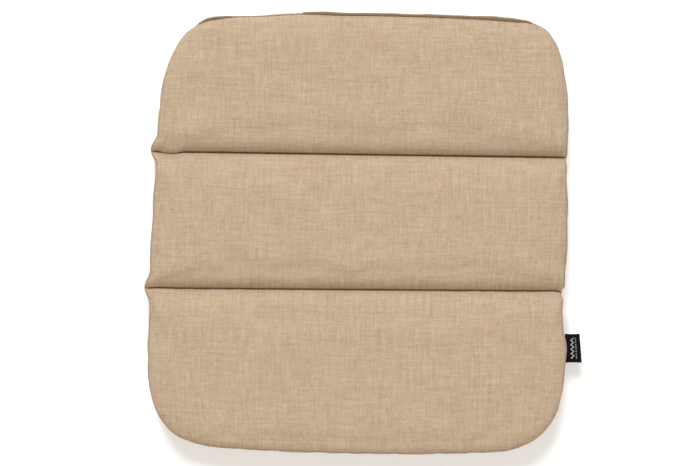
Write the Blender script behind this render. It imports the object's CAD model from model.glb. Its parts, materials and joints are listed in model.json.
# %% [markdown]
# # A folding chair seat pad
#
# A seat pad is three boxed foam cushions in one cover. The cover is sewn straight through between
# the cushions, so it can fold there. The cloth is a plain weave of mixed light and brown yarns.
#
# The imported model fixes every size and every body. This lesson builds the look around it: the cloth
# cover with its seams, puckers and stitching, the foam and fibre inside it, and the woven label.

import json
import math

import bpy
import numpy as np
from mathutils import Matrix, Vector


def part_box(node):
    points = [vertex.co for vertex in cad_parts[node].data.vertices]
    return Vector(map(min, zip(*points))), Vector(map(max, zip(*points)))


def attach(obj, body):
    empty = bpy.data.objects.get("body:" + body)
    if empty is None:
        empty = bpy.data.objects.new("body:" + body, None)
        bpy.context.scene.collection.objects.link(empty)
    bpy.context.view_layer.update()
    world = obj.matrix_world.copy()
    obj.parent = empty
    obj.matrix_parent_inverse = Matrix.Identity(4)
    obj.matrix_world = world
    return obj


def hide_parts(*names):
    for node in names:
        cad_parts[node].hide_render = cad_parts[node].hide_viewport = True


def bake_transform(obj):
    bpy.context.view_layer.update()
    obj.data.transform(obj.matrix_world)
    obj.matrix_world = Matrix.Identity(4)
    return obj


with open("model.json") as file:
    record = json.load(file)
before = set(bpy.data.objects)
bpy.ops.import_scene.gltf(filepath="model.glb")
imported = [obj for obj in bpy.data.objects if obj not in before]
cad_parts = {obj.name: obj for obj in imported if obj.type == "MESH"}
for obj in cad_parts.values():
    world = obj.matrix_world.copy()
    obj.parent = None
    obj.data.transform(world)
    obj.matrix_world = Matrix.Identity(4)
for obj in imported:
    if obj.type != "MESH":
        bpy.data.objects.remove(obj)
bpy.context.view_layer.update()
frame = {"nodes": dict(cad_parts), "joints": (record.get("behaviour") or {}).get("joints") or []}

MM = 0.001
joint_at = {j["name"]: [v / MM for v in j["pos_m"]] for j in frame["joints"]}
FOLD_REAR = joint_at["rear_fold"][1]
FOLD_FRONT = joint_at["front_fold"][1]
MID_Z = joint_at["rear_fold"][2]
print("folds at y =", FOLD_REAR, FOLD_FRONT, "mm, mid height", MID_Z, "mm")

# %% [markdown]
# ## Camera, floor and light
#
# The pad lies flat and is looked at from straight above, so the camera hangs over it with a long
# lens. A key light behind the rear edge brings out the rolled cloth beside each fold: slopes that
# face it turn brighter and slopes that face away turn darker. A weaker warm light from the front
# and a pale warm sky fill the shade.

# %% Camera over the pad
def placed(name, data):
    """A new object in the scene."""
    made = bpy.data.objects.new(name, data)
    bpy.context.scene.collection.objects.link(made)
    return made


VIEW_WIDTH = 805.7 * MM
CAMERA_HEIGHT = 2.6
camera_data = bpy.data.cameras.new("camera")
camera_data.sensor_width = 36
camera_data.lens = 36 * (CAMERA_HEIGHT - MID_Z * MM) / VIEW_WIDTH
camera = placed("camera", camera_data)
camera.location = (-11.5 * MM, 0, CAMERA_HEIGHT)
bpy.context.scene.camera = camera
print("lens", round(camera_data.lens, 1), "mm")

# %% Floor
floor_mesh = bpy.data.meshes.new("floor")
floor_mesh.from_pydata([(-4, -4, 0), (4, -4, 0), (4, 4, 0), (-4, 4, 0)], [], [(0, 1, 2, 3)])
floor = placed("floor", floor_mesh)
floor.location.z = -0.2 * MM
floor_paint = bpy.data.materials.new("floor_paint")
floor_paint.use_nodes = True
floor_sockets = floor_paint.node_tree.nodes["Principled BSDF"].inputs
floor_sockets["Base Color"].default_value = (0.8, 0.8, 0.8, 1)
floor_sockets["Roughness"].default_value = 0.9
floor_sockets["Specular IOR Level"].default_value = 0.2
# The floor glows a little, so that the shadow beside the pad stays faint.
floor_sockets["Emission Color"].default_value = (1, 1, 1, 1)
floor_sockets["Emission Strength"].default_value = 0.28
floor_mesh.materials.append(floor_paint)


# %% Lights
def soft_light(name, place, aim, size, watts, colour=(1, 1, 1)):
    data = bpy.data.lights.new(name, "AREA")
    data.shape = "DISK"
    data.size = size
    data.energy = watts
    data.color = colour
    lamp = placed(name, data)
    lamp.location = place
    lamp.rotation_euler = (Vector(aim) - Vector(place)).to_track_quat("-Z", "Y").to_euler()


soft_light("key_from_rear", (-0.9, 5.4, 6.0), (0, 0, 0), 3.4, 592, (0.97, 1.0, 1.065))
soft_light("fill_from_front", (1.2, -4.4, 5.0), (0, 0, 0), 4.4, 138, (1.0, 0.935, 0.855))
world = bpy.data.worlds.new("pale_sky")
world.use_nodes = True
sky = world.node_tree.nodes["Background"].inputs
sky["Color"].default_value = (1.0, 0.948, 0.875, 1)
sky["Strength"].default_value = 0.42
bpy.context.scene.world = world
bpy.context.scene.view_settings.view_transform = "Standard"

# %% [markdown]
# ## The melange cloth
#
# The cover is a plain weave: yarns across and yarns along pass over and under each other. Each yarn
# is spun from light and brown fibres, so its tone drifts along its length, and thick places (slubs)
# show as short light or dark dashes. The material makes one streaky tone for each set of yarns,
# shows whichever yarn is on top, and raises it a little. On the cover it reads the "cloth" map,
# which holds places on the flat cloth in metres, so the weave follows the cut pieces, not the room.


# %% Small helpers for node materials
class Nodes:
    """Adds nodes to a material, with a short way to write sums."""

    def __init__(self, name):
        self.material = bpy.data.materials.new(name)
        self.material.use_nodes = True
        self.tree = self.material.node_tree
        self.shader = self.tree.nodes["Principled BSDF"]

    def join(self, value, socket):
        if isinstance(value, bpy.types.NodeSocket):
            self.tree.links.new(value, socket)
        else:
            socket.default_value = value

    def math(self, operation, a, b=0.0, c=0.0):
        node = self.tree.nodes.new("ShaderNodeMath")
        node.operation = operation
        for value, socket in zip((a, b, c), node.inputs):
            self.join(value, socket)
        return node.outputs[0]

    def plus(self, a, b):
        return self.math("ADD", a, b)

    def minus(self, a, b):
        return self.math("SUBTRACT", a, b)

    def times(self, a, b):
        return self.math("MULTIPLY", a, b)

    def over(self, a, b):
        return self.math("DIVIDE", a, b)

    def shares(self, *pairs):
        """The sum of values, each times its share."""
        total = self.times(*pairs[0])
        for pair in pairs[1:]:
            total = self.plus(total, self.times(*pair))
        return total

    def add(self, kind, output=0, **inputs):
        node = self.tree.nodes.new(kind)
        for key, value in inputs.items():
            if key in node.inputs:
                self.join(value, node.inputs[key])
            else:
                setattr(node, key, value)
        return node.outputs[output]

    def vector(self, x, y, z=0.0):
        node = self.tree.nodes.new("ShaderNodeCombineXYZ")
        for value, socket in zip((x, y, z), node.inputs):
            self.join(value, socket)
        return node.outputs[0]

    def noise(self, vector, scale, detail=2.0, roughness=0.5):
        node = self.tree.nodes.new("ShaderNodeTexNoise")
        self.join(vector, node.inputs["Vector"])
        node.inputs["Scale"].default_value = scale
        node.inputs["Detail"].default_value = detail
        node.inputs["Roughness"].default_value = roughness
        return node.outputs["Fac"]

    def ramp(self, value, stops):
        node = self.tree.nodes.new("ShaderNodeValToRGB")
        self.join(value, node.inputs[0])
        band = node.color_ramp
        while len(band.elements) < len(stops):
            band.elements.new(0.5)
        for element, (place, colour) in zip(band.elements, stops):
            element.position = place
            element.color = (*colour, 1)
        return node.outputs[0]

    def colour_mix(self, a, b, share=1.0, kind="MULTIPLY"):
        node = self.tree.nodes.new("ShaderNodeMix")
        node.data_type = "RGBA"
        node.blend_type = kind
        for value, socket in zip((share, a, b), (node.inputs[0], node.inputs[6], node.inputs[7])):
            self.join(value, socket)
        return node.outputs[2]

    def split(self, vector):
        node = self.tree.nodes.new("ShaderNodeSeparateXYZ")
        self.join(vector, node.inputs[0])
        return node.outputs

    def surface(self, colour, **constants):
        """Joins the colour and sets the other sockets; Sheen_Weight stands for Sheen Weight."""
        self.join(colour, self.shader.inputs["Base Color"])
        for socket, value in constants.items():
            self.shader.inputs[socket.replace("_", " ")].default_value = value

    def bump(self, height, distance, strength=1.0):
        node = self.tree.nodes.new("ShaderNodeBump")
        self.join(height, node.inputs["Height"])
        node.inputs["Distance"].default_value = distance
        node.inputs["Strength"].default_value = strength
        self.tree.links.new(node.outputs[0], self.shader.inputs["Normal"])


def linear(*srgb):
    """A colour given as 0-255 display values, as the linear values that a shader needs."""
    return tuple(((c / 255 + 0.055) / 1.055) ** 2.4 if c > 10 else c / 255 / 12.92 for c in srgb)


# %% Woven cloth material
YARN = 0.95 * MM
FOLD_TONES = ((0.36, 0.29, 0.22), (0.60, 0.52, 0.44))
SEAM_TONES = ((0.66, 0.60, 0.54), (0.88, 0.86, 0.83))


def woven_cloth(name, shade=1.0, mapped=True, creases=(), crease_reach=9.5, crease_tones=FOLD_TONES):
    """Melange plain weave. shade darkens pressed cloth, and creases are the depths of the folds or
    seams on the cloth map, in mm: the cloth pinched down there is darker."""
    m = Nodes(name)
    flat = m.add("ShaderNodeUVMap", uv_map="cloth") if mapped else m.add("ShaderNodeTexCoord", "Object")
    across, depth_along, _ = m.split(flat)
    # The yarns aren't quite straight: they wander by a millimetre or two.
    wander = m.times(m.minus(m.noise(flat, 9.0, 3.0), 0.5), 5 * MM)
    u = m.plus(across, wander)
    v = m.plus(depth_along, m.times(wander, 0.8))
    warp_count = m.over(u, YARN)
    weft_count = m.over(v, YARN)
    warp_yarn = m.math("FLOOR", warp_count)
    weft_yarn = m.math("FLOOR", weft_count)

    def streaks(a, a_rate, b, b_rate, seed, detail=1.0, roughness=0.5):
        # A noise that changes at its own rate along each way of the cloth.
        return m.noise(m.vector(m.times(a, a_rate), m.times(b, b_rate), seed), 1.0, detail, roughness)

    def yarn_tone(yarn, along, seed, rate):
        # The yarn's number across, a slow drift and shorter slubs along it.
        drift = streaks(yarn, 3.7, along, rate, seed, 2.0, 0.6)
        slub = streaks(yarn, 5.3, along, 2.4 * rate, seed + 9)
        return m.shares((drift, 0.62), (slub, 0.38))

    warp_tone = yarn_tone(warp_yarn, v, 0.0, 60.0)
    weft_tone = yarn_tone(weft_yarn, u, 40.0, 95.0)
    # In a plain weave the yarn on top changes at every crossing, as on a chessboard.
    on_top = m.math("PINGPONG", m.plus(warp_yarn, weft_yarn), 1.0)
    tone = m.add("ShaderNodeMix", Factor=on_top, A=warp_tone, B=weft_tone)
    # Groups of yarns from one cone share a shade, which gives broad soft stripes both ways.
    stripes_along = streaks(u, 430.0, v, 24.0, 3.0)
    stripes_across = streaks(u, 24.0, v, 400.0, 7.0)
    cloudy = m.noise(flat, 22.0, 3.0)
    mix = m.shares((tone, 0.62), (stripes_along, 0.16), (stripes_across, 0.16), (cloudy, 0.06))
    shadeof = lambda *c: tuple(shade * value for value in linear(*c))
    colour = m.ramp(mix, [
        (0.26, shadeof(138, 112, 85)),
        (0.44, shadeof(172, 149, 122)),
        (0.54, shadeof(185, 164, 139)),
        (0.76, shadeof(212, 196, 175)),
    ])
    # Some yarns hold more of the rusty fibre and some more of the grey.
    rust = m.plus(m.times(m.minus(tone, stripes_across), 0.5), streaks(u, 150.0, v, 150.0, 21.0))
    tint = m.ramp(rust, [(0.3, (0.975, 1.002, 1.036)), (0.7, (1.025, 0.998, 0.964))])
    colour = m.colour_mix(colour, tint)
    deep, half_way = crease_tones
    for depth in creases:
        near = m.over(m.math("ABSOLUTE", m.minus(depth_along, depth * MM)), crease_reach * MM)
        pinched = m.ramp(near, [(0.0, deep), (0.55, half_way), (1.0, (1.0, 1.0, 1.0))])
        colour = m.colour_mix(colour, pinched)
    # Each yarn is round: high in its middle, low at its edges, and lowest where it dives under.
    across_warp = m.math("PINGPONG", warp_count, 0.5)
    across_weft = m.math("PINGPONG", weft_count, 0.5)
    crown = m.times(m.math("SQRT", m.times(across_warp, across_weft)), 1.6)
    height = m.plus(crown, m.times(tone, 0.7))
    m.bump(height, 0.16 * MM, 0.7)
    m.surface(colour, Roughness=0.88, Specular_IOR_Level=0.25, Sheen_Weight=0.08, Sheen_Roughness=0.5)
    return m.material


lip_cloth = woven_cloth("lip_cloth", 0.8)
seam_cloth = woven_cloth("seam_cloth", 0.62, mapped=False)
print("cloth yarns are", YARN / MM, "mm apart")

# %% [markdown]
# ## The plan of the cover
#
# Seen from above, the pad is a rounded rectangle: wide at the front, a little narrower at the rear,
# with both ends bowed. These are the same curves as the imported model's. The cover mesh is built on
# them as a grid that follows the real cutting: rows of cloth run side to side, and they crowd
# together at each sewn fold, where the cloth turns sharply.


# %% Outline curves
def bezier(handles, count):
    """Points along the curve that these handles give."""
    t = np.linspace(0, 1, count)[:, None]
    n = len(handles) - 1
    return sum(
        math.comb(n, i) * (1 - t) ** (n - i) * t**i * np.array(h, float) for i, h in enumerate(handles)
    )


def right_half():
    """The outline's right half, from the middle of the front edge to the middle of the rear edge."""
    curves = [
        [(0, -254.4), (70, -254.4), (140, -251.2)],
        [(140, -251.2), (196, -248.6), (240.4, -238), (240.4, -150)],
        [(240.4, -150), (240.1, 0), (235.6, 130)],
        [(235.6, 130), (232, 242), (194, 246), (130, 249)],
        [(130, 249), (65, 251.6), (0, 251.6)],
    ]
    return np.vstack([bezier(c, 400)[:-1] for c in curves] + [[[0, 251.6]]])


right = right_half()
outline = np.vstack([right, right[-2:0:-1] * [-1, 1]])
steps = np.linalg.norm(np.roll(outline, -1, 0) - outline, axis=1)
travel = np.concatenate([[0], np.cumsum(steps)])
perimeter = travel[-1]
print("the cover measures", round(perimeter), "mm round")


def run_of(path):
    """Each point's distance along a path."""
    return np.concatenate([[0], np.cumsum(np.linalg.norm(np.diff(path, axis=0), axis=1))])


def read_at(s, run, path):
    """Points at distances s along a path whose own points lie at distances run."""
    return np.stack([np.interp(s, run, path[:, k]) for k in range(path.shape[1])], -1)


def at_travel(s):
    """Outline point and outward direction at a distance s round from the middle of the front."""
    s = np.mod(s, perimeter)
    ring = np.vstack([outline, outline[:1]])
    along = read_at(np.mod(s + 1, perimeter), travel, ring) - read_at(np.mod(s - 1, perimeter), travel, ring)
    along /= np.linalg.norm(along, axis=-1, keepdims=True)
    return read_at(s, travel, ring), np.stack([along[..., 1], -along[..., 0]], -1)


# %% Where the grid lines meet the outline
def travel_where(condition):
    return travel[:-1][condition][0]


_, facing = at_travel(travel[:-1])
x, y = outline.T
S_FRONT_CORNER = travel_where((x > 0) & (facing[:, 0] > math.sqrt(0.5)))
S_FOLD_FRONT = travel_where((x > 0) & (y > FOLD_FRONT))
S_FOLD_REAR = travel_where((x > 0) & (y > FOLD_REAR))
S_REAR_CORNER = travel_where((x > 0) & (y > 150) & (facing[:, 1] > math.sqrt(0.5)))
FOLD_STEPS = np.array([0, 0.8, 1.8, 3.2, 5.0, 7.4, 10.4, 14.0, 18.2, 22.6, 27.5])
CELL = 5.2


def crowded(length, at_start, at_end):
    """Distances along a side, crowded together at the ends that are sewn folds."""
    head = FOLD_STEPS if at_start else np.array([0.0])
    tail = length - (FOLD_STEPS if at_end else np.array([0.0]))[::-1]
    count = max(2, round((tail[0] - head[-1]) / CELL))
    return np.concatenate([head[:-1], np.linspace(head[-1], tail[0], count + 1), tail[1:]])


front_side = S_FRONT_CORNER + crowded(S_FOLD_FRONT - S_FRONT_CORNER, False, True)
middle_side = S_FOLD_FRONT + crowded(S_FOLD_REAR - S_FOLD_FRONT, True, True)
rear_side = S_FOLD_REAR + crowded(S_REAR_CORNER - S_FOLD_REAR, True, False)
side_travel = np.concatenate([front_side, middle_side[1:], rear_side[1:]])
ROWS = len(side_travel)
ROW_FOLD_FRONT = len(front_side) - 1
ROW_FOLD_REAR = ROW_FOLD_FRONT + len(middle_side) - 1
ROW_MIDDLE = (ROW_FOLD_FRONT + ROW_FOLD_REAR) // 2
COLUMNS = 89
front_travel = np.linspace(-S_FRONT_CORNER, S_FRONT_CORNER, COLUMNS)
rear_travel = np.linspace(S_REAR_CORNER, perimeter - S_REAR_CORNER, COLUMNS)
print("grid of", COLUMNS, "columns and", ROWS, "rows; folds in rows", ROW_FOLD_FRONT, ROW_FOLD_REAR)

# %% [markdown]
# ## The filled form
#
# Beside a sewn fold the cloth rolls down over the soft foam to the stitching, about a quarter
# of an ellipse, until the top and bottom cloths meet at mid height. Round the outside, a smaller
# roll leads to the seam of the upright side band. `half_height` gives the roll beside the folds, and
# `edge_profile` gives the roll, seam and band round the outside, scaled to the height there.

# %% Height beside the folds
FULL_HALF = 21.6
SEWN_HALF = 0.8
ROLL_LENGTH = 25.0
EDGE_ROLL = 10.0
SWELL = 1.8


def half_height(y):
    """Half the pad's thickness at depth y."""
    away = np.minimum(np.abs(y - FOLD_REAR), np.abs(y - FOLD_FRONT))
    share = 1 - np.clip(away / ROLL_LENGTH, 0, 1)
    return SEWN_HALF + (FULL_HALF - SEWN_HALF) * np.clip(1 - share**2.2, 0, 1) ** 0.38


rolled = np.linspace(0, ROLL_LENGTH, 400)
drop = half_height(FOLD_REAR + rolled)
rolled_cloth = np.concatenate([[0], np.cumsum(np.hypot(np.diff(rolled), np.diff(drop)))])
EXTRA_CLOTH = rolled_cloth[-1] - ROLL_LENGTH


def cloth_depth(y):
    """Where depth y lies on the flat cloth, counting the cloth that the rolls take up."""
    total = np.zeros_like(y)
    for fold, side in ((FOLD_FRONT, -1), (FOLD_FRONT, 1), (FOLD_REAR, -1), (FOLD_REAR, 1)):
        away = np.clip((y - fold) * side, 0, ROLL_LENGTH)
        total = total + side * (np.interp(away, rolled, rolled_cloth) - away)
    return y + total


CREASES = [float(cloth_depth(np.array([y]))[0]) for y in (FOLD_FRONT, FOLD_REAR)]
cover_cloth = woven_cloth("cover_cloth", creases=CREASES)
print("on the flat cloth the folds lie at", [round(d) for d in CREASES], "mm")
print("each roll takes up", round(float(EXTRA_CLOTH), 1), "mm more cloth than its length")

# %% Edge profile
ROLL_ANGLES = np.radians([0, 18, 36, 51, 60, 66.4, 73, 81, 90])
BAND_LEVELS = np.array([0.78, 0.52, 0.25, 0.0, -0.25, -0.52, -0.78])
SEAM_RING = 5
RINGS = 2 * len(ROLL_ANGLES) + len(BAND_LEVELS)


def edge_profile(half):
    """(how far in from the outline, height above mid height) for each ring, top to bottom."""
    roll = min(EDGE_ROLL, 0.85 * half)
    wall = half - roll
    # The filling will push the wall out to the outline, so it starts a little inside.
    start = SWELL * half / FULL_HALF
    top = [(start + roll * (1 - math.sin(a)), wall + roll * math.cos(a)) for a in ROLL_ANGLES]
    band = [(start - (half / FULL_HALF) * (1 - level**2), wall * level) for level in BAND_LEVELS]
    return np.array(top + band + [(inset, -z) for inset, z in reversed(top)])


# %% Lay out every vertex
round_travel = np.concatenate([
    front_travel[:-1],
    side_travel[:-1],
    rear_travel[:-1],
    perimeter - side_travel[:0:-1],
])
ROUND = len(round_travel)
edge_point, edge_facing = at_travel(round_travel)
edge_half = half_height(edge_point[:, 1])
profiles = np.array([edge_profile(h) for h in edge_half])

# The flat top's border is the first ring of the profile.
border = edge_point - edge_facing * profiles[:, 0, 0:1]
C, R = COLUMNS, ROWS
south = border[:C]
east = border[C - 1:C - 1 + R]
north = border[C + R - 2:2 * C + R - 2][::-1]
west = np.vstack([border[2 * C + R - 3:], border[:1]])[::-1]


def patch(row0, row1, low, high):
    """A grid between two side stretches, a lower edge and an upper edge."""
    left, rightside = west[row0:row1 + 1], east[row0:row1 + 1]
    u = np.linspace(0, 1, C)[None, :, None]
    length = run_of(rightside)
    v = (length / length[-1])[:, None, None]
    return (
        (1 - v) * low[None] + v * high[None] + (1 - u) * left[:, None] + u * rightside[:, None]
        - (1 - u) * (1 - v) * low[0] - u * (1 - v) * low[-1] - (1 - u) * v * high[0] - u * v * high[-1]
    )


def straight(row):
    return west[row] + (east[row] - west[row]) * np.linspace(0, 1, C)[:, None]


plan = np.vstack([
    patch(0, ROW_FOLD_FRONT, south, straight(ROW_FOLD_FRONT))[:-1],
    patch(ROW_FOLD_FRONT, ROW_FOLD_REAR, straight(ROW_FOLD_FRONT), straight(ROW_FOLD_REAR))[:-1],
    patch(ROW_FOLD_REAR, R - 1, straight(ROW_FOLD_REAR), north),
])
plan_half = half_height(plan[..., 1])
top = np.dstack([plan, MID_Z + plan_half])
bottom = np.dstack([plan, MID_Z - plan_half])
rings = []
for k in range(1, RINGS - 1):
    flat_place = edge_point - edge_facing * profiles[:, k, 0:1]
    rings.append(np.column_stack([flat_place, MID_Z + profiles[:, k, 1]]))
vertices = np.vstack([top.reshape(-1, 3), bottom.reshape(-1, 3), *rings])
print("cover grid has", len(vertices), "vertices")

# %% [markdown]
# ## Faces, pieces and the cloth map
#
# The cover is cut from top and bottom panels and side bands. Each face is given the number of the
# piece it is cut from, and each face corner its place on the flat cloth. At a seam the two pieces
# keep their own places, so the weave breaks there as it does on sewn cloth.

# %% Number the faces
PIECES = [
    "cover_top_rear", "cover_top_front", "cover_bottom_rear", "cover_bottom_front",
    "band_right_rear", "band_back", "band_left_rear", "band_front",
]
number = {name: i for i, name in enumerate(PIECES)}
TOP_COUNT = C * R
around = np.concatenate([
    np.arange(C - 1),
    (C - 1) + C * np.arange(R - 1),
    (R - 1) * C + np.arange(C - 1, 0, -1),
    C * np.arange(R - 1, 0, -1),
])


def ring_vertex(k, p):
    p = p % ROUND
    if k == 0:
        return around[p]
    if k == RINGS - 1:
        return TOP_COUNT + around[p]
    return 2 * TOP_COUNT + (k - 1) * ROUND + p


# %% Cloth places
# The bottom, the bands and the lip are cut beside the top, so that no two pieces have the same yarns.
BOTTOM_ASIDE, BAND_ASIDE, LIP_ASIDE = 900, 1800, 2700
ring_length = np.zeros((ROUND, RINGS))
ring_length[:, 1:] = np.cumsum(np.linalg.norm(np.diff(profiles, axis=1), axis=2), axis=1)
cloth_top = np.dstack([plan[..., 0], cloth_depth(plan[..., 1])]).reshape(-1, 2)
seam_depths = [float(ring_length[:, k].max()) for k in (SEAM_RING, RINGS - 1 - SEAM_RING)]
band_cloth = woven_cloth("band_cloth", 0.97, True, seam_depths, 1.8, SEAM_TONES)
print("the side bands run from", [round(d, 1) for d in seam_depths], "mm on their cloth")


def place_on_cloth(k, p, piece):
    """Flat cloth place, in mm, of ring k at perimeter place p for a face of this kind."""
    p = p % ROUND
    base = cloth_top[around[p]]
    if piece == "top":
        return base + edge_facing[p] * ring_length[p, k]
    if piece == "bottom":
        return base + edge_facing[p] * (ring_length[p, -1] - ring_length[p, k]) + [BOTTOM_ASIDE, 0]
    return np.array([round_travel[p] + BAND_ASIDE, ring_length[p, k]])


faces, face_piece, corner_place = [], [], []
for j in range(R - 1):
    name = "rear" if j >= ROW_MIDDLE else "front"
    for i in range(C - 1):
        quad = [j * C + i, j * C + i + 1, (j + 1) * C + i + 1, (j + 1) * C + i]
        faces.append(quad)
        face_piece.append(number["cover_top_" + name])
        corner_place += [cloth_top[q] for q in quad]
        faces.append([TOP_COUNT + q for q in quad[::-1]])
        face_piece.append(number["cover_bottom_" + name])
        corner_place += [cloth_top[q] + [BOTTOM_ASIDE, 0] for q in quad[::-1]]

P_RIGHT_MIDDLE = (C - 1) + ROW_MIDDLE
P_LEFT_MIDDLE = 2 * (C - 1) + (R - 1) + (R - 1 - ROW_MIDDLE)
REAR_LEAN = 5.6
back_left, back_right = (corner.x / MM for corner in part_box("back_band"))
behind = edge_point[:, 1] > 150
P_BACK_RIGHT, P_BACK_LEFT = (
    int(np.argmin(np.abs(edge_point[:, 0] + REAR_LEAN - seam_x) + 1e3 * ~behind))
    for seam_x in (back_right, back_left)
)
for p in range(ROUND):
    rear_half = P_RIGHT_MIDDLE <= p < P_LEFT_MIDDLE
    for k in range(RINGS - 1):
        if k < SEAM_RING:
            kind = "top"
            piece = "cover_top_rear" if rear_half else "cover_top_front"
        elif k >= RINGS - 1 - SEAM_RING:
            kind = "bottom"
            piece = "cover_bottom_rear" if rear_half else "cover_bottom_front"
        else:
            kind = "band"
            piece = "band_front"
            if rear_half:
                piece = "band_right_rear" if p < P_BACK_RIGHT else "band_back"
                piece = "band_left_rear" if p >= P_BACK_LEFT else piece
        quad = [(k, p), (k + 1, p), (k + 1, p + 1), (k, p + 1)]
        faces.append([ring_vertex(*q) for q in quad])
        face_piece.append(number[piece])
        wrap = perimeter if p == ROUND - 1 else 0
        for level, q in quad:
            spot = place_on_cloth(level, q, kind)
            corner_place.append(spot + [wrap, 0] if kind == "band" and q == ROUND else spot)
print(len(faces), "faces in", len(PIECES), "pieces; back seams at", P_BACK_RIGHT, P_BACK_LEFT)


# %% Make the mesh
def make_mesh(name, points, polygons):
    mesh = bpy.data.meshes.new(name)
    mesh.from_pydata([tuple(p) for p in points], [], [tuple(int(i) for i in f) for f in polygons])
    mesh.polygons.foreach_set("use_smooth", np.ones(len(polygons), bool))
    mesh.update()
    return placed(name, mesh)


def grid_faces(rows, columns, closed_rows=False, closed_columns=False):
    """Quads between the points of a grid; a closed way joins its last points to its first."""
    return [
        [i * columns + k, i * columns + (k + 1) % columns,
         (i + 1) % rows * columns + (k + 1) % columns, (i + 1) % rows * columns + k]
        for i in range(rows - (not closed_rows)) for k in range(columns - (not closed_columns))
    ]


def tube_faces(count, sides):
    """The faces of a tube of this many rings, closed at both ends."""
    ends = [list(range(sides))[::-1], [(count - 1) * sides + k for k in range(sides)]]
    return grid_faces(count, sides, closed_columns=True) + ends


def final_mesh(obj):
    """The mesh that an object's modifiers make."""
    return bpy.data.meshes.new_from_object(obj.evaluated_get(bpy.context.evaluated_depsgraph_get()))


def set_cloth_map(mesh, places_mm):
    layer = mesh.uv_layers.new(name="cloth")
    layer.data.foreach_set("uv", (np.array(places_mm) * MM).astype(np.float32).ravel())


cover = make_mesh("cover", vertices * MM, faces)
set_cloth_map(cover.data, corner_place)
for name in PIECES:
    cover.data.materials.append(cover_cloth if name.startswith("cover") else band_cloth)
cover.data.polygons.foreach_set("material_index", face_piece)

# %% [markdown]
# ## Filling the cover
#
# The form so far is stiff and exact. Real cloth is pushed out by the foam and held back where it is
# sewn, which gives each section and each band its gentle crown. A cloth
# simulation with air pressure inside does this. The sewn folds and the seams of the side bands are
# pinned, and each point may move only a few millimetres, so that the pad keeps its size.


# %% Simulate
def read_points(mesh):
    co = np.empty(len(mesh.vertices) * 3, np.float32)
    mesh.vertices.foreach_get("co", co)
    return co.reshape(-1, 3).astype(float)


def inflate(obj, hold, pressure, frames, cap):
    """Swells obj with cloth and pressure. hold is each vertex's grip, 0 to 1; cap is in metres."""
    rest = read_points(obj.data)
    normals = np.empty(len(rest) * 3, np.float32)
    obj.data.vertices.foreach_get("normal", normals)
    normals = normals.reshape(-1, 3).astype(float)
    group = obj.vertex_groups.new(name="hold")
    for grip in np.unique(hold):
        if grip > 0:
            group.add([int(i) for i in np.flatnonzero(hold == grip)], float(grip), "REPLACE")
    cloth = obj.modifiers.new("swell", "CLOTH")
    s = cloth.settings
    s.quality = 6
    s.mass = 0.4
    s.tension_stiffness = s.compression_stiffness = 20
    s.shear_stiffness = 8
    s.bending_stiffness = 1.5
    s.shrink_min = -0.012
    s.use_pressure = True
    s.uniform_pressure_force = pressure
    s.vertex_group_mass = "hold"
    s.pin_stiffness = 0.6
    s.effector_weights.gravity = 0
    cloth.point_cache.frame_start = 1
    cloth.point_cache.frame_end = frames
    scene = bpy.context.scene
    for f in range(1, frames + 1):
        scene.frame_set(f)
    swollen = obj.evaluated_get(bpy.context.evaluated_depsgraph_get())
    moved = read_points(swollen.data) - rest
    obj.modifiers.remove(cloth)
    obj.vertex_groups.remove(group)
    scene.frame_set(1)
    # The foam inside stops the cloth from going in, and the cap keeps the pad's size.
    outwards = np.sum(moved * normals, axis=1, keepdims=True)
    along = moved - outwards * normals
    outwards = np.where(outwards > 0, cap * np.tanh(outwards / cap), 0.4 * MM * np.tanh(outwards / MM))
    slide = np.linalg.norm(along, axis=1, keepdims=True)
    along *= 1.5 * MM * np.tanh(slide / (1.5 * MM)) / np.maximum(slide, 1e-9)
    moved = outwards * normals + along
    obj.data.vertices.foreach_set("co", (rest + moved).astype(np.float32).ravel())
    return moved


hold = np.zeros(len(vertices))
for row in (ROW_FOLD_FRONT, ROW_FOLD_REAR):
    hold[row * C:(row + 1) * C] = 1
    hold[TOP_COUNT + row * C:TOP_COUNT + (row + 1) * C] = 1
fold_ends = np.flatnonzero(edge_half < SEWN_HALF + 0.01)
for p in fold_ends:
    hold[[ring_vertex(k, p) for k in range(RINGS)]] = 1
for k in (SEAM_RING, RINGS - 1 - SEAM_RING):
    ring = np.array([ring_vertex(k, p) for p in range(ROUND)])
    hold[ring] = 1
import time

began = time.time()
moved = inflate(cover, hold, 4.0, 20, 2.6 * MM)
print("simulated in", round(time.time() - began), "s; moved at most",
      round(float(np.linalg.norm(moved, axis=1).max()) / MM, 1), "mm")

# %% [markdown]
# ## How this pad lies
#
# No sewn pad is perfectly square. This one leans a little, its folds aren't quite level, and the
# cloth at the ends of the folds is pinched into small ears on the left and notches on the right.
# Those small faults are what make it look sewn and not moulded.

# %% Seams pulled in
points = read_points(cover.data) / MM


def smooth_step(t):
    t = np.clip(t, 0, 1)
    return t * t * (3 - 2 * t)


def wobble(s, seed, waves):
    """A gentle, fixed irregular wave along s."""
    rng = np.random.default_rng(seed)
    return sum(a * np.sin(2 * math.pi * s / w + rng.uniform(0, 6.28)) for w, a in waves)


PULL_IN = 1.3
pucker = 1 + 0.35 * wobble(round_travel, 3, [(11.3, 0.5), (17.9, 0.6), (31, 0.5)])
for k in (SEAM_RING, RINGS - 1 - SEAM_RING):
    ring = np.array([ring_vertex(k, p) for p in range(ROUND)])
    depth = PULL_IN * np.clip(edge_half / FULL_HALF, 0, 1) * pucker
    points[ring, :2] -= edge_facing * depth[:, None]
    points[ring, 2] -= np.sign(points[ring, 2] - MID_Z) * 0.5 * depth
for side_ring in range(SEAM_RING, RINGS - SEAM_RING):
    for p in (P_BACK_RIGHT, P_BACK_LEFT):
        points[ring_vertex(side_ring, p), :2] -= edge_facing[p] * 0.9


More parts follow.
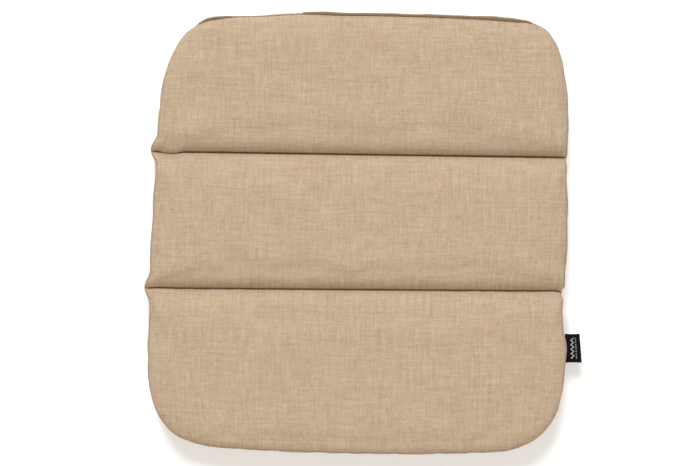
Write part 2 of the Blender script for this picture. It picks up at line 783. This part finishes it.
# %% Ears and notches at the fold ends
def bulge_sideways(side, y_centre, y_reach, amount, x_reach=26.0):
    """Moves cloth near one side's edge outwards, or inwards (amount below 0)."""
    offset = (points[:, 1] - y_centre) / y_reach
    width = np.clip(1 - offset**2, 0, 1) ** 1.2
    edge = np.interp(points[:, 1], right[400:-400, 1], right[400:-400, 0])
    nearness = smooth_step(1 - (edge - side * points[:, 0]) / x_reach)
    points[:, 0] += side * amount * width * nearness


LEFT, RIGHT = -1, 1
# Ears on the left, notches on the right, and slow waves of the sides between them.
SIDE_MOVES = [
    (LEFT, FOLD_REAR + 2.8, 14.5, 6.4), (LEFT, FOLD_FRONT + 1, 14, 5.0), (LEFT, FOLD_FRONT - 30, 28, -1.4),
    (RIGHT, FOLD_REAR - 3, 5, -1.6), (RIGHT, FOLD_FRONT - 2, 7, -4.0), (RIGHT, FOLD_FRONT - 28, 30, -2.0),
    (RIGHT, -133, 24, 2.2, 18), (RIGHT, 8, 62, 1.8), (RIGHT, 150, 60, 1.3), (RIGHT, -192, 44, -1.1),
]
for move in SIDE_MOVES:
    bulge_sideways(*move)

# %% Corners
# Places in plan where the cloth is pulled out or in: (x, y, reach, amount).
CORNERS = [
    (214, 230, 62, 4.6), (202, 243, 46, 3.0), (-214, 212, 45, -2.6), (-70, 252, 48, 1.8),
    (215, -231, 48, -1.9), (-205, -234, 34, 0.8),
]


def push_corners(p):
    """Moves cloth near each corner away from the pad's middle, or towards it (amount below 0)."""
    p = np.array(p, float)
    for x, y, reach, amount in CORNERS:
        near = smooth_step(1 - np.hypot(p[:, 0] - x, p[:, 1] - y) / reach)
        p[:, :2] += amount * near[:, None] * np.array([x, y]) / math.hypot(x, y)
    return p


points = push_corners(points)

# %% A tuck and two wrinkles
# Near its left end the rear roll hangs over a small tuck in the cloth before it.
TUCK_DEPTH, OVERHANG = 5.0, 3.6
upper = points[:, 2] > MID_Z
beside = smooth_step((points[:, 0] + 234) / 8) * smooth_step((-200 - points[:, 0]) / 14)
tuck = np.exp(-(((points[:, 1] - (FOLD_REAR - 4.6)) / 2.4) ** 2)) * beside
behind_fold = points[:, 1] - FOLD_REAR
overhang = smooth_step(behind_fold / 1.5) * smooth_step((14 - behind_fold) / 10) * beside
points[:, 2] -= np.where(upper, TUCK_DEPTH * tuck, 0)
points[:, 1] -= np.where(upper, OVERHANG * overhang, 0)

# Two faint slack wrinkles lie near the sides of the rear section: (x, y, half length, rise, depth).
WRINKLES = ((-196, 172, 21, -0.08, 0.8), (210, 199, 15, 0.22, 0.8))
for x, y, half, rise, depth in WRINKLES:
    across = points[:, 1] - y - rise * (points[:, 0] - x)
    dent = np.exp(-((across / 4.2) ** 2)) * smooth_step(1.4 - np.abs(points[:, 0] - x) / half)
    points[:, 2] -= np.where(upper, depth * dent, 0)
print("the tuck is", TUCK_DEPTH, "mm deep; there are", len(WRINKLES), "faint wrinkles")


# %% Lean and tilt
def lie(p):
    """Moves exact places, in mm, to where this pad's cloth really lies."""
    p = np.array(p, float)
    lean = np.interp(p[:, 1], [-300, -80, 200, 300], [-4.2, -4.4, 6.0, 5.0])
    tilt = np.interp(p[:, 1], [-300, -252, -65, 90, 250], [-0.017, -0.017, -0.0077, -0.0148, -0.012])
    p[:, 1] += tilt * p[:, 0]
    p[:, 0] += lean
    return p


points = lie(points)
points[:, 2] = np.maximum(points[:, 2], 0.0)
cover.data.vertices.foreach_set("co", (points * MM).astype(np.float32).ravel())
cover.data.update()

# %% [markdown]
# ## Cutting the cover into its pieces
#
# A subdivision smooths the grid, and then every piece is separated by its number.

# %% Subdivide
smoother = cover.modifiers.new("smooth", "SUBSURF")
smoother.levels = smoother.render_levels = 1
smoother.uv_smooth = "PRESERVE_BOUNDARIES"
fine = final_mesh(cover)
print("smoothed cover has", len(fine.polygons), "faces")


# %% Give cloth a thickness
def thicken(obj, thickness, offset):
    """Turns a single surface into cloth of this thickness, and makes it final."""
    solid = obj.modifiers.new("thickness", "SOLIDIFY")
    solid.thickness = thickness
    solid.offset = offset
    solid.use_even_offset = False
    mesh = final_mesh(obj)
    obj.modifiers.clear()
    # The cut edge turns sharply, so that it doesn't shade the cloth beside it.
    mesh.set_sharp_from_angle(angle=math.radians(65))
    obj.data = mesh
    return obj


# %% Separate the pieces
def cut_piece(mesh, index, name):
    """The faces of one material number, as an object of their own with the same cloth map."""
    of_face = np.empty(len(mesh.polygons), np.int32)
    mesh.polygons.foreach_get("material_index", of_face)
    corners = np.empty(len(mesh.loops), np.int32)
    mesh.loops.foreach_get("vertex_index", corners)
    places = np.empty(len(mesh.loops) * 2, np.float32)
    mesh.uv_layers["cloth"].data.foreach_get("uv", places)
    quads = corners.reshape(-1, 4)[of_face == index]
    places = places.reshape(-1, 4, 2)[of_face == index]
    used, flat = np.unique(quads, return_inverse=True)
    piece = make_mesh(name, read_points(mesh)[used], flat.reshape(-1, 4))
    set_cloth_map(piece.data, places.reshape(-1, 2) / MM)
    return piece


cloth = {}
for name, index in number.items():
    cloth[name] = cut_piece(fine, index, name)
    cloth[name].data.materials.append(cover_cloth if name.startswith("cover") else band_cloth)
    thicken(cloth[name], 0.7 * MM, -1.0)
bpy.data.objects.remove(cover)

# %% Fasten the cloth to the bodies
for name, piece in cloth.items():
    if name == "band_back":
        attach(piece, "rear")
    elif name == "band_front" or name.endswith("_front"):
        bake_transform(piece)
    else:
        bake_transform(piece)
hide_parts("top_panel_rear", "top_panel_middle")
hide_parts("top_panel_front")
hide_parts("bottom_panel_rear", "bottom_panel_middle")
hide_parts("bottom_panel_front")
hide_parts("side_band_rear_right", "side_band_middle_right")
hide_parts("side_band_rear_left", "side_band_middle_left")
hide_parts("back_band")
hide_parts("front_band")

# %% [markdown]
# ## Stitches in the folds
#
# One line of lockstitch goes through both cloths along each fold. Seen close, it is a row of short
# threads, each dipping into the cloth at both ends. Each is a bent tube; the row bends with the
# fold, as the cloth does.

# %% Thread material
def twisted_thread(name, colour):
    """Sewing thread: strands twisted round each other."""
    m = Nodes(name)
    x, y, z = m.split(m.add("ShaderNodeTexCoord", "Object"))
    twist = m.plus(m.plus(x, y), m.times(z, 1.6))
    strand = m.math("PINGPONG", m.over(twist, 0.5 * MM), 1.0)
    dark = tuple(0.62 * c for c in colour)
    m.bump(strand, 0.12 * MM, 0.8)
    strands = m.ramp(strand, [(0.0, dark), (0.55, colour), (1.0, colour)])
    m.surface(strands, Roughness=0.6, Sheen_Weight=0.15)
    return m.material


thread = twisted_thread("sewing_thread", linear(150, 123, 92))


# %% Build stitches
def tube(centre_line, radius, sides=8):
    """Vertices and faces of a closed tube round a line of points; radius may vary along it."""
    line = np.array(centre_line, float)
    radius = np.broadcast_to(radius, len(line))
    along = np.gradient(line, axis=0)
    along /= np.linalg.norm(along, axis=1, keepdims=True)
    side = np.cross(along, [0, 0, 1.0])
    side /= np.linalg.norm(side, axis=1, keepdims=True)
    over = np.cross(side, along)
    turn = np.linspace(0, 2 * math.pi, sides, endpoint=False)
    ring = line[:, None] + radius[:, None, None] * (
        side[:, None] * np.cos(turn)[None, :, None] + over[:, None] * np.sin(turn)[None, :, None]
    )
    return ring.reshape(-1, 3), tube_faces(len(line), sides)


def stitch_row(name, path, stitch=3.6, gap=0.7, radius=0.36, dip=0.45):
    """A row of stitches, in mm, along a path of points that lie on the cloth."""
    path = np.array(path, float)
    run = run_of(path)
    points, polygons = [], []
    start = 0.0
    while start + stitch < run[-1]:
        s = start + stitch * np.linspace(0, 1, 7)
        line = read_at(s, run, path)
        bow = np.sin(np.linspace(0, math.pi, 7))
        line[:, 2] += (bow * 0.35 - (1 - bow) ** 2 * dip) * path_up(path)
        p, f = tube(line, radius * (0.75 + 0.25 * bow))
        base = sum(len(q) for q in points)
        points.append(p)
        polygons += [[base + i for i in face] for face in f]
        start += stitch + gap
    return make_mesh(name, np.vstack(points) * MM, polygons)


def path_up(path):
    """1 when the path is on top of the pad, -1 when it is underneath."""
    return 1 if path[:, 2].mean() > MID_Z - 0.01 else -1


def join_meshes(name, objects):
    """One object from several."""
    points, polygons, base = [], [], 0
    for o in objects:
        points.append(read_points(o.data))
        polygons += [[base + i for i in p.vertices] for p in o.data.polygons]
        base += len(o.data.vertices)
        bpy.data.objects.remove(o)
    return make_mesh(name, np.vstack(points), polygons)


STITCHED_HALF = 229.0
for fold, y in (("rear", FOLD_REAR), ("front", FOLD_FRONT)):
    xs = np.linspace(-STITCHED_HALF, STITCHED_HALF, 60)
    rows = []
    for side in (1, -1):
        path = lie(np.column_stack([xs, np.full(60, y), np.full(60, MID_Z + side * 1.1)]))
        rows.append(stitch_row("stitches", path))
    stitches = join_meshes("fold_stitches_" + fold, rows)
    stitches.data.materials.append(thread)
    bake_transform(stitches)
    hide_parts("fold_stitch_" + fold)
    frame["nodes"]["fold_seam_" + fold].data.materials.clear()
    frame["nodes"]["fold_seam_" + fold].data.materials.append(seam_cloth)

# %% [markdown]
# ## The closing seam
#
# The last seam is closed from outside, after the foam is in: the edges of the top panel and the
# back band are turned in, laid together and topstitched. They stand up behind the top edge as a
# thin wavy lip with a dark crease before it. The lip is a flat closed strip with a varying lean:
# it stands proud near both ends and lies tucked under the roll left of the middle, and its very
# ends are tucked in too.

# %% Closing lip
lip_travel = np.linspace(round_travel[P_BACK_RIGHT] + 3, round_travel[P_BACK_LEFT] - 3, 200)
lip_point, lip_facing = at_travel(lip_travel)
lip_x = lip_point[:, 0] + REAR_LEAN
lip_out = np.interp(
    lip_x,
    [-194, -184, -176, -165, -152, -138, -75, -62, -45, 0, 60, 115, 150, 172, 190, 200],
    [-6.0, -2.2, 0.3, 0.1, -1.6, -5.0, -5.0, -1.0, 0.3, 0.0, -0.1, 0.3, 1.1, 1.6, -0.6, -6.0],
)
lip_out = lip_out + 0.3 * wobble(lip_travel, 5, [(37, 0.5), (61, 0.7), (19, 0.3)])
lip_rise = np.interp(lip_x, [-194, -176, -160, -138, -75, -50, 60, 110, 168, 186, 200],
                     [-3.0, 3.0, 1.8, -3.0, -3.0, 2.2, 2.0, 2.4, 3.6, 1.6, -3.0])
section_turn = np.linspace(0, 2 * math.pi, 16, endpoint=False)
LIP_HALF = 0.8
lip_vertices = []
for point, facing_out, out, rise in zip(lip_point, lip_facing, lip_out, lip_rise):
    root = np.array([-2.2, 37.6])
    tip = np.array([out - 0.3, 38.8 + rise])
    length = np.linalg.norm(tip - root)
    ahead = (tip - root) / length
    across = np.array([-ahead[1], ahead[0]])
    for a in section_turn:
        # The section has nearly flat sides and a rounded tip and root.
        c, d = math.cos(a), math.sin(a)
        on = root + ahead * length * (0.5 + 0.5 * np.sign(c) * abs(c) ** 0.45)
        thick = LIP_HALF * np.sign(d) * abs(d) ** 0.7
        place = on + across * thick
        lip_vertices.append([*(point + facing_out * place[0]), place[1]])
sides = len(section_turn)
lip_faces = tube_faces(len(lip_travel), sides)
lip = make_mesh("closing_lip_cloth", lie(push_corners(lip_vertices)) * MM, lip_faces)
lip_place = [[lip_travel[v // sides] + LIP_ASIDE, (v % sides) * 0.6] for face in lip_faces for v in face]
set_cloth_map(lip.data, lip_place)
lip.data.materials.append(lip_cloth)
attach(lip, "rear")
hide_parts("closing_lip")

stitch_place = lip_point + lip_facing * (lip_out * 0.45 - 0.4)[:, None]
topstitch = stitch_row(
    "closing_topstitch",
    lie(push_corners(np.column_stack([stitch_place, 38.9 + 0.55 * lip_rise + LIP_HALF * 0.8]))),
    stitch=3.4, gap=0.8, radius=0.3,
)
topstitch.data.materials.append(thread)
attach(topstitch, "rear")
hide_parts("closing_stitch")
print("lip stands out", round(float(lip_out.min()), 1), "to", round(float(lip_out.max()), 1), "mm")

# %% [markdown]
# ## The woven label
#
# The label is a ribbon folded double with its ends caught in the side seam. It is woven in black
# with pale yarn floated over it for the motif; here the motif is a plain zigzag with dots, which
# means nothing. The two layers part a little at the fold, and the ribbon droops and waves.

# %% Label material
def woven_label_material():
    m = Nodes("woven_label")
    flat = m.add("ShaderNodeUVMap", uv_map="cloth")
    across, along, _ = m.split(flat)
    zig = m.times(m.math("PINGPONG", along, 2.6 * MM), 1.15)
    middle = m.minus(m.minus(across, 6.6 * MM), zig)
    line = m.math("LESS_THAN", m.math("ABSOLUTE", middle), 0.75 * MM)
    dot_along = m.minus(m.math("PINGPONG", m.plus(along, 1.3 * MM), 2.6 * MM), 1.3 * MM)
    dot_across = m.minus(across, 12.0 * MM)
    from_dot = m.plus(m.math("ABSOLUTE", dot_along), m.math("ABSOLUTE", dot_across))
    dots = m.math("LESS_THAN", from_dot, 0.8 * MM)
    inside = m.times(m.math("GREATER_THAN", along, 4.5 * MM), m.math("LESS_THAN", along, 28.8 * MM))
    pale = m.times(m.math("MAXIMUM", line, dots), inside)
    rib = m.math("PINGPONG", m.over(along, 0.28 * MM), 1.0)
    speck = m.noise(flat, 2600.0, 2.0)
    ground = m.ramp(speck, [(0.3, linear(8, 8, 7)), (0.7, linear(20, 20, 18))])
    floated = m.ramp(m.shares((rib, 0.6), (speck, 0.4)),
                     [(0.2, linear(120, 124, 126)), (0.8, linear(205, 208, 210))])
    m.bump(m.plus(rib, m.times(pale, 1.5)), 0.12 * MM, 0.8)
    m.surface(m.colour_mix(ground, floated, pale, "MIX"), Roughness=0.7, Specular_IOR_Level=0.08)
    return m.material


# %% Label
label_low, label_high = (np.array(corner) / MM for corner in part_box("woven_label"))
LABEL_ROOT = label_low[0] - 1.0
LABEL_LENGTH = label_high[1] - label_low[1]
ACROSS, ALONG = 34, 26


def label_point(b, a):
    """b runs 0 to 1 from the lower root round the fold to the upper root, a along the ribbon's width."""
    reach = label_high[0] - LABEL_ROOT - 2.4 * a
    opening = 0.62 + 0.15 * math.sin(3 * a)
    if b < 0.46:
        out, z = reach * b / 0.46, -opening
    elif b > 0.54:
        out, z = reach * (1 - b) / 0.46, opening
    else:
        turn = (b - 0.5) / 0.04 * math.pi / 2
        out, z = reach + opening * math.cos(turn), opening * math.sin(turn)
    share = out / reach
    z = z * (0.55 + 0.45 * min(1, share * 2)) if share < 0.5 else z
    wave = 0.5 * math.sin(2.2 * a + 0.6) * share**2 - 1.3 * share**2
    edge = 0.35 * math.sin(math.pi * share)
    y = label_low[1] + LABEL_LENGTH * a + edge * (1 if a < 0.5 else -1) * abs(2 * a - 1)
    return [LABEL_ROOT + out, y, label_low[2] + 0.75 + z + wave]


grid = [[label_point(b, a) for a in np.linspace(0, 1, ALONG)] for b in np.linspace(0, 1, ACROSS)]
label_faces = grid_faces(ACROSS, ALONG)
label = make_mesh("woven_ribbon_label", np.array(grid).reshape(-1, 3) * MM, label_faces)
label_place = []
for face in label_faces:
    for v in face:
        b, a = (v // ALONG) / (ACROSS - 1), (v % ALONG) / (ALONG - 1)
        out = 18.0 * (1 - abs(2 * b - 1))
        label_place.append([out, LABEL_LENGTH * a])
set_cloth_map(label.data, label_place)
label.data.materials.append(woven_label_material())
thicken(label, 0.4 * MM, 0.0)
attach(label, "label")
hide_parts("woven_label")

# %% [markdown]
# ## Foam and fibre inside
#
# Each section is filled with a block of cut foam. A thin fibre wadding goes round it, front to
# back, to soften its edges, and leaves its left and right ends bare. The foam starts as a copy of
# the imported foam, rebuilt in even small faces so that its edges can be softened. The wadding is a
# long strip laid round the same section and puffed up irregularly.

# %% Filling materials
def foam_material():
    m = Nodes("open_cell_foam")
    place = m.add("ShaderNodeTexCoord", "Object")
    cells = m.tree.nodes.new("ShaderNodeTexVoronoi")
    cells.inputs["Scale"].default_value = 750
    m.tree.links.new(place, cells.inputs["Vector"])
    big = m.noise(place, 60.0, 3.0)
    tone = m.shares((cells.outputs["Distance"], 0.5), (big, 0.5))
    colour = m.ramp(tone, [(0.2, linear(214, 196, 140)), (0.6, linear(243, 231, 184))])
    m.bump(cells.outputs["Distance"], 0.5 * MM, 0.6)
    m.surface(colour, Roughness=0.95, Specular_IOR_Level=0.1)
    return m.material


def fibre_material():
    m = Nodes("fibre_wadding")
    place = m.add("ShaderNodeTexCoord", "Object")
    strands = m.noise(place, 420.0, 8.0, 0.75)
    puffs = m.noise(place, 45.0, 2.0)
    tone = m.shares((strands, 0.7), (puffs, 0.3))
    colour = m.ramp(tone, [(0.3, linear(206, 206, 200)), (0.7, linear(250, 250, 247))])
    m.bump(tone, 1.2 * MM, 0.7)
    m.surface(colour, Roughness=1.0, Sheen_Weight=0.3)
    return m.material


foam_look = foam_material()
fibre_look = fibre_material()


# %% Foam blocks
def foam_block(section):
    block = placed("foam_block_" + section, frame["nodes"]["foam_" + section].data.copy())
    weld = block.modifiers.new("weld", "WELD")
    weld.merge_threshold = 0.01 * MM
    remesh = block.modifiers.new("even_faces", "REMESH")
    remesh.mode = "VOXEL"
    remesh.voxel_size = 4.5 * MM
    soften = block.modifiers.new("soften", "SMOOTH")
    soften.factor = 0.5
    soften.iterations = 6
    even = final_mesh(block)
    block.modifiers.clear()
    block.data = even
    even.materials.clear()
    even.materials.append(foam_look)
    even.polygons.foreach_set("use_smooth", np.ones(len(even.polygons), bool))
    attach(block, section)
    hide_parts("foam_" + section)
    return block


for section in ("rear", "middle", "front"):
    block = foam_block(section)
    print(block.name, len(block.data.polygons), "faces")


# %% Fibre wraps
COVER_GAP = 2.9
WRAP_THICK = 2.4


def wrap_loop(y_front, y_rear, fold_front, fold_rear, inset):
    """The closed line, in side view, that the wadding follows round one section."""
    half = MID_Z - inset
    tip_f = y_front + (3 + inset * math.sqrt(2) if fold_front else inset)
    tip_r = y_rear - (3 + inset * math.sqrt(2) if fold_rear else inset)
    line = []
    if fold_front:
        line += [(tip_f + half, -half), (tip_f, 0), (tip_f + half, half)]
    else:
        line += [(tip_f + 8, -half), (tip_f, -half + 8), (tip_f, half - 8), (tip_f + 8, half)]
    if fold_rear:
        line += [(tip_r - half, half), (tip_r, 0), (tip_r - half, -half)]
    else:
        line += [(tip_r - 8, half), (tip_r, half - 8), (tip_r, -half + 8), (tip_r - 8, -half)]
    line = np.array(line + line[:1], float)
    run = run_of(line)
    return read_at(np.linspace(0, run[-1], round(run[-1] / 5), endpoint=False), run, line)


def side_limit(y):
    """How far the outline reaches to the right at depth y."""
    low, high = right[0, 1] + 0.2, right[-1, 1] - 0.2
    keep = np.concatenate([[True], np.diff(right[:, 1]) > 1e-6])
    return np.interp(np.clip(y, low, high), right[keep, 1], right[keep, 0])


def fibre_wrap(section, *ends):
    loop = wrap_loop(*ends, COVER_GAP)
    rng = np.random.default_rng(11)
    across = np.linspace(-1, 1, 70)
    phases = rng.uniform(0, 6.28, (6, 2))
    points = []
    for i, (y, z) in enumerate(loop):
        reach = side_limit(y) - 11
        for u in across:
            x = u * reach
            dy, dz = loop[i] - loop[i - 1]
            puff = -0.4 + 0.35 * sum(
                math.sin(x / w + a) * math.sin((y + 2 * z) / w * 1.3 + b)
                for w, (a, b) in zip((9, 14, 21, 6, 33, 11), phases)
            ) / 2
            n = math.hypot(dy, dz) or 1
            points.append([x, y + puff * dz / n, MID_Z + z - puff * dy / n])
    polygons = grid_faces(len(loop), len(across), closed_rows=True)
    # At the rounded corners the strip is tucked in, to stay inside the cover.
    points = np.array(points)
    gaps = np.linalg.norm(points[:, None, :2] - outline[None, ::4], axis=2)
    nearest = gaps.argmin(axis=1) * 4
    ahead = at_travel(travel[nearest])[1]
    past = np.sum((points[:, :2] - outline[nearest]) * ahead, axis=1)
    past = np.maximum(past + 6.6 + np.clip(np.abs(points[:, 2] - MID_Z) - 10.5, 0, 9), 0)
    points[:, :2] -= ahead * past[:, None]
    points[:, 2] -= np.sign(points[:, 2] - MID_Z) * np.minimum(0.45 * past, 3.4)
    wrap = make_mesh("fibre_sleeve_" + section, lie(push_corners(points)) * MM, polygons)
    wrap.data.materials.append(fibre_look)
    thicken(wrap, WRAP_THICK * MM, -1.0)
    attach(wrap, section)
    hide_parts("fibre_wrap_" + section)


fibre_wrap("rear", FOLD_REAR, 251.6, True, False)
fibre_wrap("middle", FOLD_FRONT, FOLD_REAR, True, True)
fibre_wrap("front", -254.4, FOLD_FRONT, False, True)
